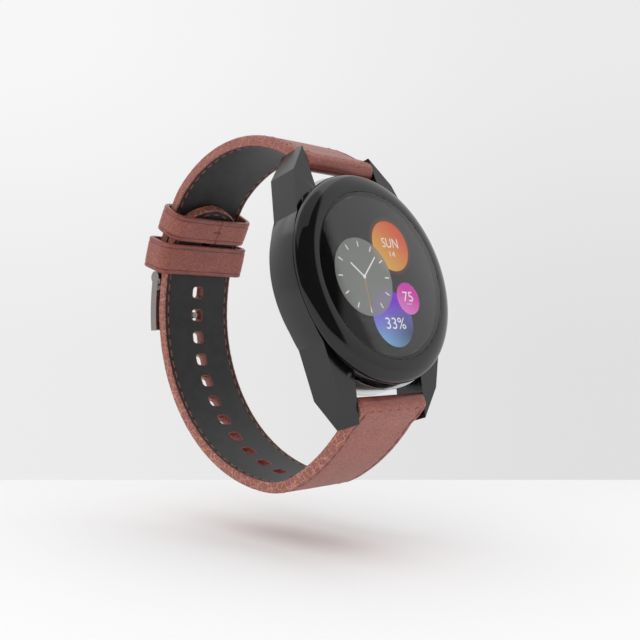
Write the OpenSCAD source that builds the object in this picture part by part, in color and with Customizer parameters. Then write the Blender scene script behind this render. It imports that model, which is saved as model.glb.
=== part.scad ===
// Smartwatch on a buckled leather strap.
// X runs from 9 to 3 o'clock, Y from the screen to the back, Z from 6 to 12 o'clock.
// The screen lies in the plane Y = 0 with its centre at the origin.

/* [Watch head] */
// Diameter of the bezel ring, the widest round part of the head
bezel_d = 43.8; // [40:0.2:48]
// Share of the bezel diameter taken by the flat screen
screen_share = 0.803; // [0.76:0.001:0.82]
// Height of the bezel ring
bezel_h = 2.5; // [2.3:0.1:3]
// Depth of the straight case wall behind the bezel
case_h = 6.7; // [6.2:0.1:8.5]
// Height of the domed back shell
back_h = 3.1; // [2.8:0.1:3.8]
// Thickness of the case wall
case_wall = 2.0; // [1.6:0.1:2.4]
// Thickness of the cover glass
glass_t = 1.2; // [0.9:0.1:1.4]

/* [Lugs] */
// Clear distance between the two lugs of a pair
lug_gap = 20; // [18:0.5:24]
// Reach of the lug tips beyond the bezel radius
lug_reach = 6.7; // [6.2:0.1:8]
// Distance the lug tips fall back behind the front of the case wall
lug_drop = 2.6; // [1.8:0.1:3]
// Spring bar axis behind the screen plane
bar_y = 6.5; // [6.3:0.1:6.9]
// Spring bar axis in from the lug tips
bar_inset = 2.8; // [2.5:0.1:3.1]

/* [Strap] */
// Thickness of leather and lining together
strap_t = 2.3; // [2:0.1:2.6]
// Thickness of the lining alone
lining_t = 0.8; // [0.6:0.1:1]
// Clearance between the strap edges and the lugs, each side
strap_side = 0.3; // [0.2:0.05:0.5]
// Clearance between the two strap layers where they overlap
layer_gap = 0.4; // [0.35:0.05:0.6]
// Direction in which the long strap leaves its spring bar
leave_angle = -42.2; // [-46:0.2:-38]
// Bend radius of the long strap below its bar
bend_1 = 42.6; // [38:0.2:48]
// Bend radius at the bottom of the loop
bend_2 = 15.9; // [15:0.1:19]
// Bend radius behind the wrist
bend_3 = 36.0; // [32:0.2:40]
// Bend radius where the layers overlap
bend_4 = 40.5; // [38:0.2:46]
// Bend radius of the short strap above the keepers
bend_5 = 15.9; // [13:0.1:19]

/* [Adjustment holes] */
// Distance from hole to hole along the strap
hole_pitch = 5.5; // [5:0.1:5.8]
// Width of an adjustment hole
hole_w = 2.8; // [2.4:0.1:3.2]

/* [Keepers and buckle] */
// Length of the free keeper along the strap
free_keeper_l = 6.1; // [5:0.1:6.5]
// Length of the fixed keeper along the strap
fixed_keeper_l = 7.3; // [6:0.1:7.6]
// Leather thickness of both keepers
keeper_t = 1.1; // [0.9:0.1:1.3]
// Clearance between the keepers and the strap layers
keeper_gap = 0.55; // [0.5:0.05:0.7]
// Width of one buckle arm across the watch
arm_w = 1.4; // [1.1:0.1:1.8]
// Radius of the buckle bar
buckle_bar_r = 0.7; // [0.6:0.05:0.8]
// Width of the tongue
tongue_w = 1.8; // [1.4:0.1:2]

/* [Hidden] */
$fn = 96;
arc_step = 2.5;
eps = 0.05;
fit = 0.04;

// Radii of the round parts of the head
bezel_r = bezel_d / 2;
screen_r = bezel_r * screen_share;
edge_r = 1.6;
edge_a = 30;
slope_r = (bezel_r - screen_r - edge_r * (1 - sin(edge_a))) / sin(edge_a);
slope_x = screen_r + slope_r * sin(edge_a);
ledge_r = screen_r - 0.9;
ring_r = bezel_r - 0.9;
cavity_r = ring_r - case_wall;
bulge_r = bezel_r - 0.1;

// Levels from front to back
case_y = bezel_h + 0.2;
back_y = case_y + case_h;
rear_y = back_y + back_h;
spigot_h = 1.1;
frame_y = case_y + 0.15;
board_y = case_y + spigot_h + 0.1;
board_t = 0.8;
cell_y = board_y + board_t + eps;
cell_h = back_y - cell_y - 0.7;

// Lugs and spring bars
tip_z = bezel_r + lug_reach;
inner_x = lug_gap / 2;
kink_z = bezel_r * 0.575;
kink_x = sqrt(bulge_r * bulge_r - kink_z * kink_z);
shoulder_z = tip_z - 6;
shoulder_x = inner_x + 4.7;
flat_z = bezel_r * 0.43;
rear_drop = lug_drop - 0.6;
bar_z = tip_z - bar_inset;
pin_r = 0.45;
pin_reach = 1.2;
tube_r = 0.8;
tube_l = lug_gap - 1.2;
pin_shank = 3.2;
collar_r = 0.56;
tube_bore = 0.6;
roll_r = 2.0;
lever_z = 4.2;

// Strap outline
strap_w = lug_gap - 2 * strap_side;
leather_in = lining_t + eps;
lining_start = 5;
roll_end = lining_start - 0.3;
bends = [bend_1, bend_2, bend_3, bend_4];
sweeps = [29.87, 28.36, 90.04, 36.4];
low_bar = [bar_y, -bar_z];
top_bar = [bar_y, bar_z];
low_start = low_bar + strap_t / 2 * side_of(leave_angle);

// Short strap, given by its middle layer
top_mid = strap_t + layer_gap + strap_t / 2;
over_c = bend_c(3);
over_r = bend_4 + top_mid;
over_h = heading(4);
turn_r = bend_5 - strap_t / 2;
turn_a = 12;
turn_c = over_c + (over_r - turn_r) * [sin(over_h), -cos(over_h)];
close_h = over_h + turn_a;
close_p = turn_c + turn_r * [sin(close_h), -cos(close_h)];
close_d = top_bar - close_p;
close_n = close_d * side_of(close_h);
close_t = close_d * [cos(close_h), sin(close_h)];
close_r = close_d * close_d / (2 * close_n);
close_a = 2 * atan2(close_n, close_t);
close_c = close_p + close_r * side_of(close_h);

// Small parts of the head
screw_x = ring_r - 1.2;
window_r = bezel_r * 0.42;
button_y = case_y + case_h * 0.5;
button_stem_r = 1.0;
button_l = 9;
button_w = 2.6;
button_out = 0.9;
speaker_x = cavity_r * 0.67;
speaker_z = -cavity_r * 0.45;
mic_x = cavity_r * 0.76;
mic_z = cavity_r * 0.36;
flex_z = -cavity_r * 0.62;
motor_x = cavity_r * 0.5;
motor_z = cavity_r * 0.56;
motor_r = 2.0;
motor_l = 4.5;

// Colours shared by the strap pieces
leather = [0.55, 0.3, 0.27];
lining = [0.11, 0.11, 0.11];
thread = [0.45, 0.18, 0.15];

// Stitch channels
stitch_x = strap_w / 2 - 1.2;
channel_w = 0.7;
channel_d = 0.4;
thread_w = 0.5;

// Keepers and buckle, by angle about the centre of the overlap
fixed_a = 34.2;
free_a = 45.2;
pivot_a = 26.6;
peg_s = 85.9;
hole_n = 14;
first_hole = 11 - hole_n;
keeper_mid = bend_4 + strap_t + layer_gap / 2;
keeper_in_h = 2 * strap_t + layer_gap + 2 * keeper_gap;
free_keeper_w = strap_w + 1.4;
fixed_keeper_w = strap_w + 3.8;
pivot_r = over_r + 0.3;
pivot = over_c + pivot_r * [cos(pivot_a), sin(pivot_a)];
roll_2 = 1.55;
arm_x = strap_w / 2 - 1.1;
arm_in = bend_4 + strap_t + 0.6;
arm_out = arm_in + 2.1;
arm_end_a = 10.3;
end_bar_a = 11.4;
end_bar_t = 1.3;
eyelet_r = 1.45;
tongue_t = 1.1;
peg_r = 0.75;
peg_a = angle_at(peg_s);
peg_foot = bend_c(2) + bends[2] * [cos(peg_a), sin(peg_a)];
peg_d = peg_foot - over_c;
peg_at = atan2(peg_d[1], peg_d[0]);
rest_r = arm_in + end_bar_t + 0.45;
tip_a = arm_end_a + 0.2;
tongue_tip = over_c + (rest_r + tongue_t / 2) * [cos(tip_a), sin(tip_a)];
tongue_v = tongue_tip - pivot;
tongue_l = norm(tongue_v);
tongue_a = atan2(tongue_v[1], tongue_v[0]);

// ---- directions and positions along the loop ----

function side_of(h) = [-sin(h), cos(h)];
function heading(i) = i == 0 ? leave_angle : heading(i - 1) + sweeps[i - 1];
function bend_p(i) = i == 0 ? low_start
  : bend_c(i - 1) + bends[i - 1] * [sin(heading(i)), -cos(heading(i))];
function bend_c(i) = bend_p(i) + bends[i] * side_of(heading(i));
function bend_len(i) = bends[i] * sweeps[i] * PI / 180;
function len_to(i) = i == 0 ? 0 : len_to(i - 1) + bend_len(i - 1);
function bend_of(s) = s < len_to(1) ? 0 : s < len_to(2) ? 1 : s < len_to(3) ? 2 : 3;
function angle_at(s) = let (i = bend_of(s))
  heading(i) - 90 + (s - len_to(i)) / bends[i] * 180 / PI;
tail_s = len_to(4);
over_end = over_h - 90;
close_end = close_h + close_a - 90;

// Points along an arc; skip is 1 where the arc carries on from an earlier point
function arc(c, r, a0, a1, skip) =
  let (n = ceil((a1 - a0) / arc_step))
  [for (i = [skip:n]) let (a = a0 + (a1 - a0) * i / n) c + r * [cos(a), sin(a)]];

function low_line(t, s0, s1) =
  [for (i = [bend_of(s0):bend_of(s1)])
    each arc(bend_c(i), bends[i] + t,
             i == bend_of(s0) ? angle_at(s0) : heading(i) - 90,
             i == bend_of(s1) ? angle_at(s1) : heading(i + 1) - 90,
             i == bend_of(s0) ? 0 : 1)];

function top_line(t, a0, s1) = let (d = t - strap_t / 2) concat(
  arc(over_c, over_r + d, a0, over_end, 0),
  arc(turn_c, turn_r + d, over_end, close_h - 90, 1),
  arc(close_c, close_r + d, close_h - 90, close_end - s1 / close_r * 180 / PI, 1));

// ---- placing helpers ----

// Flat outline in Y and Z, drawn out along X about the middle
module along_x(w) {
  rotate([90, 0, 90]) linear_extrude(height = w, center = true) children();
}

// Flat outline in X and Z, drawn out along Y
module along_y(y0, y1) {
  translate([0, y1, 0]) rotate([90, 0, 0]) linear_extrude(height = y1 - y0) children();
}

// Outline of radius and depth, turned about the Y axis
module turned() {
  rotate([-90, 0, 0]) rotate_extrude() children();
}

module disc(r, y0, y1) {
  along_y(y0, y1) circle(r = r);
}

module hoop(r0, r1, y0, y1) {
  turned() translate([r0, y0]) square([r1 - r0, y1 - y0]);
}

// Round rod along X
module rod(r, x0, x1, y, z) {
  translate([x0, y, z]) rotate([0, 90, 0]) cylinder(r = r, h = x1 - x0);
}

// Box given by its middle in X and Z and its levels in Y
module slab(w, h, y0, y1, x, z) {
  translate([x - w / 2, y0, z - h / 2]) cube([w, y1 - y0, h]);
}

// Local frame on an arc: X across the watch, Y outward, Z along the strap
module on_arc(c, r, a) {
  translate([0, c[0] + r * cos(a), c[1] + r * sin(a)]) rotate([a, 0, 0]) children();
}

// Closed outline between two edge lines that run the same way
module between(inner, outer) {
  n = len(outer);
  polygon(concat(inner, [for (i = [1:n]) outer[n - i]]));
}

module ring_part(c, r0, r1, a0, a1) {
  between(arc(c, r0, a0, a1, 0), arc(c, r1, a0, a1, 0));
}

// Layer of the long strap between two depths, from length s0 to s1
module low_layer(t0, t1, s0, s1) {
  between(low_line(t0, s0, s1), low_line(t1, s0, s1));
}

// Layer of the short strap between two depths, from angle a0 to s1 short of its bar
module top_layer(t0, t1, a0, s1) {
  between(top_line(t0, a0, s1), top_line(t1, a0, s1));
}

// ---- watch head ----

module bezel_outline() {
  intersection() {
    translate([screen_r, slope_r]) circle(r = slope_r, $fn = 240);
    translate([ledge_r, 0]) square([slope_x - ledge_r, bezel_h]);
  }
  intersection() {
    translate([bezel_r - edge_r, slope_r - (slope_r - edge_r) * cos(edge_a)])
      circle(r = edge_r);
    translate([slope_x, 0]) square([edge_r, bezel_h]);
  }
}

module bezel_ring() {
  color([0.03, 0.03, 0.035])
  difference() {
    union() {
      turned() bezel_outline();
      hoop(cavity_r - 1, cavity_r - fit, bezel_h - eps, case_y + spigot_h);
    }
    disc(screen_r, -1, glass_t + fit);
    disc(ledge_r, 0, case_y + spigot_h + 1);
  }
}

module cover_glass() {
  color([0.2, 0.21, 0.21, 0.5]) disc(screen_r - fit, 0, glass_t);
}

module display_panel() {
  color([0.1, 0.1, 0.11]) disc(ledge_r - 0.15, glass_t + eps, bezel_h);
}

module display_frame() {
  color([0.6, 0.61, 0.62])
  difference() {
    disc(cavity_r - 1.2, frame_y, frame_y + 0.5);
    slab(9, 3, frame_y - 1, frame_y + 1, 0, flex_z);
    for (a = [45:90:315])
      rotate([0, a, 0]) rod_y(1.2, frame_y - 1, frame_y + 1, cavity_r * 0.72);
  }
}

// Rod along Y at a distance from the axis
module rod_y(r, y0, y1, x) {
  translate([x, y1, 0]) rotate([90, 0, 0]) cylinder(r = r, h = y1 - y0);
}

module bezel_gasket() {
  color([0.05, 0.05, 0.05]) hoop(cavity_r + 0.4, ring_r - 0.4, bezel_h + 0.02, case_y - 0.02);
}

module wing_outline() {
  intersection() {
    circle(r = bulge_r, $fn = 240);
    square([2 * bezel_r, 2 * kink_z + 1], center = true);
  }
  for (sx = [-1, 1])
    for (sz = [-1, 1])
      polygon([[sx * inner_x, sz * flat_z], [sx * inner_x, sz * tip_z],
               [sx * shoulder_x, sz * shoulder_z], [sx * kink_x, sz * (kink_z - 0.4)],
               [sx * kink_x, sz * flat_z]]);
}

module wing_profile() {
  y0 = case_y;
  y1 = back_y;
  polygon([[y0, -flat_z], [y0 + lug_drop, -tip_z], [y1 + rear_drop, -tip_z],
           [y1 + rear_drop, -shoulder_z], [y1, -flat_z], [y1, flat_z],
           [y1 + rear_drop, shoulder_z], [y1 + rear_drop, tip_z],
           [y0 + lug_drop, tip_z], [y0, flat_z]]);
}

module mid_case() {
  color([0.07, 0.07, 0.075])
  difference() {
    union() {
      disc(ring_r, case_y, back_y);
      intersection() {
        along_y(case_y, back_y + lug_drop) wing_outline();
        along_x(4 * bezel_r) wing_profile();
      }
    }
    disc(cavity_r, case_y - 1, rear_y + 1);
    disc(ring_r + 0.15, back_y, rear_y + 1);
    for (sz = [-1, 1])
      rod(pin_r + eps, -inner_x - 1.4, inner_x + 1.4, bar_y, sz * bar_z);
    rod(button_stem_r + fit, cavity_r - 1, bezel_r + 2, button_y, 0);
    button_pocket(0.1);
    for (i = [-1:1])
      rod(0.4, speaker_x, bezel_r + 1, button_y, speaker_z + i * 1.4);
    rod(0.35, mic_x, bezel_r + 1, cell_y + 0.55, mic_z);
    for (a = [45:90:315])
      rotate([0, a, 0]) rod_y(0.6, back_y - 2.6, back_y + 1, screw_x);
  }
}

// Flat pill of the button, grown by g on every side
module button_pocket(g) {
  translate([bulge_r - 1.2 - g, 0, 0]) button_pill(3, g);
}

module button_pill(t, g) {
  hw = button_w / 2 + g;
  z = button_l / 2 - button_w / 2;
  for (s = [-1, 1])
    rod(hw, 0, t, button_y, s * z);
  translate([0, button_y - hw, -z]) cube([t, 2 * hw, 2 * z]);
}

module side_button() {
  color([0.3, 0.3, 0.31]) {
    translate([bulge_r - 0.6, 0, 0]) button_pill(button_out + 0.6, 0);
    rod(button_stem_r, cavity_r - 0.5, bulge_r, button_y, 0);
  }
}

module button_seal() {
  color([0.05, 0.05, 0.05])
  difference() {
    rod(1.25, cavity_r - 0.75, cavity_r - 0.1, button_y, 0);
    rod(button_stem_r + fit, cavity_r - 1, cavity_r + 1, button_y, 0);
  }
}

module button_switch() {
  color([0.2, 0.2, 0.2]) {
    slab(2.0, 4.4, cell_y, button_y + 1.4, cavity_r - 2.6, 0);
    rod(0.7, cavity_r - 1.65, cavity_r - 1.15, button_y, 0);
  }
}

module main_board() {
  color([0.06, 0.22, 0.12])
  difference() {
    disc(cavity_r - 0.3, board_y, board_y + board_t);
    slab(8.6, 1.4, board_y - 1, board_y + 2, 0, flex_z);
    for (a = [45:90:315])
      rotate([0, a, 0]) rod_y(1, board_y - 1, board_y + 2, cavity_r - 2.2);
  }
}

module board_shields() {
  y = board_y + board_t + 0.02;
  color([0.7, 0.7, 0.7]) {
    slab(cavity_r * 0.55, cavity_r * 0.42, y, y + 1.3, -cavity_r * 0.12, cavity_r * 0.62);
    slab(cavity_r * 0.22, cavity_r * 0.3, y, y + 1.0, -cavity_r * 0.6, cavity_r * 0.42);
  }
}

// Ribbon from the display through the frame and the board, folded flat behind it
module display_flex() {
  y = board_y + board_t;
  color([0.55, 0.3, 0.08]) {
    slab(7, 0.2, bezel_h + 0.05, y + 0.35, 0, flex_z);
    slab(7, 3, y + 0.15, y + 0.35, 0, flex_z + 1.5);
  }
}

module battery() {
  w = cavity_r * 1.1;
  h = cavity_r * 0.9;
  color([0.25, 0.26, 0.28])
    slab(w, h, cell_y + 0.5, cell_y + cell_h, 0, -cavity_r * 0.22);
}

module speaker() {
  color([0.1, 0.1, 0.1])
  difference() {
    slab(3, 5.4, cell_y, button_y + 1.8, speaker_x, speaker_z);
    for (i = [-1:1])
      rod(0.4, speaker_x, cavity_r, button_y, speaker_z + i * 1.4);
  }
}

module microphone() {
  color([0.72, 0.66, 0.5]) slab(3.4, 2.4, cell_y, cell_y + 1.1, mic_x, mic_z);
}

module motor_can() {
  color([0.75, 0.75, 0.76])
  difference() {
    rod(motor_r, motor_x, motor_x + motor_l, cell_y + motor_r + 0.1, motor_z);
    rod(0.4 + fit, motor_x - 1, motor_x + motor_l - 1, cell_y + motor_r + 0.1, motor_z);
  }
}

// Eccentric weight and its shaft
module motor_weight() {
  y = cell_y + motor_r + 0.1;
  color([0.55, 0.5, 0.42]) {
    rod(0.4, motor_x - 2.6, motor_x + motor_l - 1.5, y, motor_z);
    intersection() {
      rod(1.8, motor_x - 2.6, motor_x - 0.4, y, motor_z);
      slab(8, 3.6, y - 0.4, y + 3, motor_x, motor_z);
    }
  }
}

module back_outline() {
  polygon([[0, back_y + 0.05], [ring_r, back_y + 0.05], [ring_r, back_y + 0.9],
           [ring_r - 2.2, back_y + back_h * 0.68], [ring_r - 5.2, rear_y], [0, rear_y]]);
}

module back_shell() {
  color([0.62, 0.62, 0.63])
  difference() {
    union() {
      turned() back_outline();
      intersection() {
        hoop(ring_r - 1.5, ring_r + 1.4, case_y + 1.8, back_y + 0.9);
        slab(2 * inner_x - 0.4, 3 * bezel_r, 0, rear_y + 1, 0, 0);
      }
    }
    disc(ring_r + fit, 0, back_y + 0.05);
    disc(cavity_r - 2, 0, rear_y - 1.2);
    disc(window_r + fit, 0, rear_y + 1);
    for (a = [45:90:315])
      rotate([0, a, 0]) {
        rod_y(0.65, back_y - 1, rear_y + 1, screw_x);
        rod_y(1.15, back_y + 0.7, rear_y + 1, screw_x);
      }
    turned() translate([cavity_r - 1.2, back_y]) square([0.9, 0.6]);
  }
}

module back_seal() {
  color([0.05, 0.05, 0.05])
    turned() translate([cavity_r - 0.75, back_y + 0.3]) circle(r = 0.3, $fn = 32);
}

module back_screws() {
  color([0.7, 0.7, 0.7])
  for (a = [45:90:315])
    rotate([0, a, 0]) difference() {
      union() {
        rod_y(0.5, back_y - 2.2, back_y + 0.75, screw_x);
        rod_y(1.05, back_y + 0.75, back_y + 1.35, screw_x);
      }
      translate([screw_x, back_y + 1.35, 0]) cube([1.5, 0.5, 0.25], center = true);
    }
}

module sensor_window() {
  h = 0.7;
  dome_r = (window_r * window_r + h * h) / (2 * h);
  color([0.03, 0.03, 0.04])
  turned() {
    intersection() {
      translate([0, rear_y + h - dome_r]) circle(r = dome_r, $fn = 240);
      translate([0, rear_y]) square([window_r, h + 1]);
    }
    translate([0, rear_y - 1.2]) square([window_r, 1.2]);
    translate([0, rear_y - 1.5]) square([window_r + 0.8, 0.25]);
    translate([0, rear_y - 1.3]) square([window_r, 0.2]);
  }
}

module sensor_board() {
  color([0.06, 0.2, 0.12]) disc(window_r + 0.4, back_y + 0.1, back_y + 0.6);
}

module sensor_lamps() {
  y = back_y + 0.62;
  color([0.2, 0.9, 0.3]) {
    slab(1.6, 1.6, y, y + 0.7, 0, 0);
    for (a = [0:90:270])
      rotate([0, a, 0]) slab(2.2, 1.6, y, y + 0.5, window_r * 0.55, 0);
  }
}

module charging_coil() {
  color([0.72, 0.4, 0.2]) hoop(window_r + 1.0, cavity_r - 2.3, back_y + 0.9, back_y + 1.6);
}

// ---- spring bars ----

module bar_tube(sz) {
  color([0.7, 0.7, 0.72])
  difference() {
    rod(tube_r, -tube_l / 2, tube_l / 2, bar_y, sz * bar_z);
    rod(tube_bore, -tube_l / 2 - 1, tube_l / 2 + 1, bar_y, sz * bar_z);
    slab(3.2, 1.2, bar_y, bar_y + 2, lever_z - 0.5, sz * bar_z);
  }
}

// Coil spring between the two pins, drawn as a ribbed sleeve
module bar_spring(sz) {
  n = 12;
  l = tube_l - 2 * pin_shank - 6.6;
  pitch = l / n;
  color([0.6, 0.6, 0.6])
  translate([-l / 2 - 1.8, bar_y, sz * bar_z]) rotate([0, 90, 0]) rotate_extrude() {
    translate([0.3, 0]) square([0.12, l]);
    for (i = [0:n - 1])
      translate([0.42, (i + 0.5) * pitch]) circle(r = 0.12, $fn = 24);
  }
}

module bar_pin(sx, sz) {
  tip = inner_x + pin_reach;
  neck = tube_l / 2 - 0.1;
  color([0.75, 0.75, 0.76])
  translate([0, bar_y, sz * bar_z]) rotate([0, sx * 90, 0]) {
    translate([0, 0, neck - pin_shank]) cylinder(r = collar_r, h = pin_shank);
    cylinder_from(neck - 0.1, tip, pin_r);
    if (sx > 0) {
      cylinder_from(lever_z - 1, neck, pin_r);
      translate([0, 0, lever_z]) rotate([-90, 0, 0]) cylinder(r = 0.45, h = 2.6);
    }
  }
}

module cylinder_from(a, b, r) {
  translate([0, 0, a]) cylinder(r = r, h = b - a);
}

module upper_bar_tube() { bar_tube(1); }
module upper_bar_spring() { bar_spring(1); }
module upper_pin_left() { bar_pin(-1, 1); }
module upper_pin_right() { bar_pin(1, 1); }
module lower_bar_tube() { bar_tube(-1); }
module lower_bar_spring() { bar_spring(-1); }
module lower_pin_left() { bar_pin(-1, -1); }
module lower_pin_right() { bar_pin(1, -1); }

// ---- strap ----

// Room for the bar tube and the release lever inside a rolled strap end
module bar_room(sz) {
  rod(tube_r + 0.1, -strap_w, strap_w, bar_y, sz * bar_z);
  slab(4.2, 1.6, bar_y, bar_y + 4, lever_z - 0.5, sz * bar_z);
}

module holes(grow) {
  for (k = [first_hole:10]) {
    s = peg_s - k * hole_pitch;
    i = bend_of(s);
    on_arc(bend_c(i), bends[i], angle_at(s))
      cube([hole_w + grow, 3 * strap_t, hole_w * 0.92 + grow], center = true);
  }
}

// What is cut away around the rounded tail
module tail_cut() {
  on_arc(over_c, bend_4, over_end - strap_w / 2 / bend_4 * 180 / PI)
  difference() {
    translate([-strap_w, -strap_w, 0]) cube([2 * strap_w, 2 * strap_w, strap_w]);
    translate([0, strap_w + 1, 0]) rotate([90, 0, 0])
      cylinder(r = strap_w / 2, h = 2 * strap_w + 2);
  }
}

module lower_leather() {
  color(leather)
  difference() {
    union() {
      along_x(strap_w) low_layer(leather_in, strap_t, 0, tail_s);
      along_x(strap_w) low_layer(0, strap_t, 0, roll_end);
      rod(roll_r, -strap_w / 2, strap_w / 2, bar_y, -bar_z);
    }
    bar_room(-1);
    holes(0);
    tail_cut();
    for (s = [-1, 1])
      translate([s * stitch_x, 0, 0])
        along_x(channel_w) low_layer(strap_t - channel_d, strap_t + 1, lining_start, tail_s);
  }
}

module lower_lining() {
  color(lining)
  difference() {
    along_x(strap_w - 0.1) low_layer(0, lining_t, lining_start, tail_s);
    holes(0.5);
    tail_cut();
  }
}

module lower_stitching() {
  color(thread)
  difference() {
    for (s = [-1, 1])
      translate([s * stitch_x, 0, 0])
        along_x(thread_w) low_layer(strap_t - 0.32, strap_t - 0.02, lining_start + 0.5, tail_s);
    tail_cut();
  }
}

module upper_leather() {
  color(leather)
  difference() {
    union() {
      along_x(strap_w) top_layer(leather_in, strap_t, pivot_a, 0);
      along_x(strap_w) ring_part(close_c, close_r - strap_t / 2, close_r + strap_t / 2,
                                 close_end - roll_end / close_r * 180 / PI, close_end);
      rod(roll_r, -strap_w / 2, strap_w / 2, bar_y, bar_z);
      rod(roll_2, -strap_w / 2, strap_w / 2, pivot[0], pivot[1]);
    }
    bar_room(1);
    rod(buckle_bar_r + eps, -strap_w, strap_w, pivot[0], pivot[1]);
    on_arc(over_c, pivot_r, pivot_a) {
      translate([-tongue_w / 2 - 0.4, -4, -4]) cube([tongue_w + 0.8, 8, 4 + roll_2 + 0.3]);
      for (s = [-1, 1])
        translate([s * (arm_x - 0.3 + strap_w / 4), 0, roll_2 / 2 - 2])
          cube([strap_w / 2, 8, roll_2 + 4.1], center = true);
    }
    for (s = [-1, 1])
      translate([s * stitch_x, 0, 0])
        along_x(channel_w) top_layer(strap_t - channel_d, strap_t + 1,
                                     pivot_a + 3, lining_start);
  }
}

module upper_lining() {
  color(lining) along_x(strap_w - 0.1) top_layer(0, lining_t, pivot_a + 2.8, lining_start);
}

module upper_stitching() {
  color(thread)
  for (s = [-1, 1])
    translate([s * stitch_x, 0, 0])
      along_x(thread_w) top_layer(strap_t - 0.32, strap_t - 0.02,
                                  pivot_a + 3.4, lining_start + 0.5);
}

// ---- keepers and buckle ----

module rounded_box_2d(w, h, r) {
  square([w - 2 * r, h], center = true);
  square([w, h - 2 * r], center = true);
  for (x = [-1, 1])
    for (y = [-1, 1])
      translate([x * (w / 2 - r), y * (h / 2 - r)]) circle(r = r, $fn = 48);
}

module keeper(a, l, w, r) {
  h = keeper_in_h;
  t = keeper_t;
  color(leather)
  on_arc(over_c, keeper_mid, a)
  difference() {
    linear_extrude(height = l, center = true) difference() {
      rounded_box_2d(w + 2 * t, h + 2 * t, r + t);
      rounded_box_2d(w, h, r);
    }
    for (s = [-1, 1])
      translate([0, 0, s * (l / 2 - 1.1)])
        linear_extrude(height = 0.3, center = true) difference() {
          square([2 * w, 2 * h], center = true);
          rounded_box_2d(w + 2 * t - 0.3, h + 2 * t - 0.3, r + t - 0.15);
        }
  }
}

module fixed_keeper() { keeper(fixed_a, fixed_keeper_l, fixed_keeper_w, 0.9); }
module free_keeper() { keeper(free_a, free_keeper_l, free_keeper_w, 1.3); }

module buckle_bar() {
  color([0.6, 0.57, 0.56])
    rod(buckle_bar_r, -arm_x - arm_w + 0.3, arm_x + arm_w - 0.3, pivot[0], pivot[1]);
}

module buckle_frame() {
  color([0.55, 0.52, 0.51])
  difference() {
    union() {
      for (s = [-1, 1])
        translate([s * (arm_x + arm_w / 2), 0, 0]) along_x(arm_w) {
          ring_part(over_c, arm_in, arm_out, arm_end_a, pivot_a);
          translate(pivot) circle(r = eyelet_r, $fn = 48);
        }
      along_x(2 * (arm_x + arm_w))
        ring_part(over_c, arm_in, arm_in + end_bar_t,
                  end_bar_a - 1.1, end_bar_a + 1.7);
    }
    rod(buckle_bar_r + fit, -arm_x - arm_w + 0.2, arm_x + arm_w - 0.2, pivot[0], pivot[1]);
  }
}

module buckle_tongue() {
  color([0.58, 0.55, 0.54])
  difference() {
    union() {
      rod(buckle_bar_r + 0.6, -tongue_w / 2, tongue_w / 2, pivot[0], pivot[1]);
      along_x(tongue_w) {
        translate(pivot) rotate(tongue_a) translate([0, -tongue_t / 2])
          square([tongue_l, tongue_t]);
        translate(tongue_tip) circle(r = tongue_t / 2, $fn = 32);
      }
      on_arc(over_c, bend_4 + 0.7, peg_at) rotate([-90, 0, 0])
        cylinder(r = peg_r, h = strap_t + 2.1);
    }
    rod(buckle_bar_r + fit, -tongue_w, tongue_w, pivot[0], pivot[1]);
  }
}

// ---- assembly ----

mid_case();
bezel_ring();
cover_glass();
display_panel();
display_frame();
bezel_gasket();
main_board();
board_shields();
display_flex();
battery();
speaker();
microphone();
motor_can();
motor_weight();
back_shell();
back_seal();
back_screws();
sensor_window();
sensor_board();
sensor_lamps();
charging_coil();
side_button();
button_seal();
button_switch();
upper_bar_tube();
upper_bar_spring();
upper_pin_left();
upper_pin_right();
lower_bar_tube();
lower_bar_spring();
lower_pin_left();
lower_pin_right();
upper_leather();
upper_lining();
upper_stitching();
lower_leather();
lower_lining();
lower_stitching();
fixed_keeper();
free_keeper();
buckle_frame();
buckle_bar();
buckle_tongue();
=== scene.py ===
"""Looks of a smartwatch on a buckled leather strap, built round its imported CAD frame.

X runs from 9 to 3 o'clock, Y from the screen to the back and Z from 6 to 12 o'clock, with the
origin at the middle of the screen. Sizes are written in millimetres and turned into metres
where a vertex is made.
"""

from math import atan2, ceil, cos, degrees, exp, pi, radians, sin, sqrt

import bmesh
import bpy
from mathutils import Matrix, Vector, noise


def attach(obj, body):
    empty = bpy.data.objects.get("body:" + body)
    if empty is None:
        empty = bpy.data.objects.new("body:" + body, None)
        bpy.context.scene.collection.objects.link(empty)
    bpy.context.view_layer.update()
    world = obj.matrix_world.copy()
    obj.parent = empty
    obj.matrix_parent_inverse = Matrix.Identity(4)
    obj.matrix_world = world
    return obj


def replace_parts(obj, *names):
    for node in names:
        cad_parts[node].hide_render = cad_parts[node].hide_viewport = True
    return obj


MM = 0.001

# ---- sizes repeated from the CAD source ----

BEZEL_R = 21.9
BEZEL_H = 2.5
SCREEN_R = BEZEL_R * 0.803
LEDGE_R = SCREEN_R - 0.9
EDGE_R = 1.6
EDGE_A = 30
SLOPE_R = (BEZEL_R - SCREEN_R - EDGE_R * (1 - sin(radians(EDGE_A)))) / sin(radians(EDGE_A))
CAVITY_R = 19.0
SPIGOT_Y = 3.8
GLASS_T = 1.2
GLASS_FIT = 0.04

BAR_Y = 6.5
BAR_Z = 25.8
TUBE_R = 0.8
ROLL_R = 1.95
LEVER_X = 3.7

STRAP_W = 19.4
STRAP_T = 2.3
LINING_T = 0.8
LAYER_GAP = 0.4
LEAVE_ANGLE = -42.2
BENDS = (42.6, 15.9, 36.0, 40.5)
SWEEPS = (29.87, 28.36, 90.04, 36.4)
TURN_R = 15.9 - STRAP_T / 2
TURN_A = 12.0

STITCH_IN = 1.2
HOLE_PITCH = 5.5
HOLE_W = 2.8
HOLE_H = HOLE_W * 0.92
PEG_S = 85.9
HOLE_STEPS = range(-3, 11)

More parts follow.
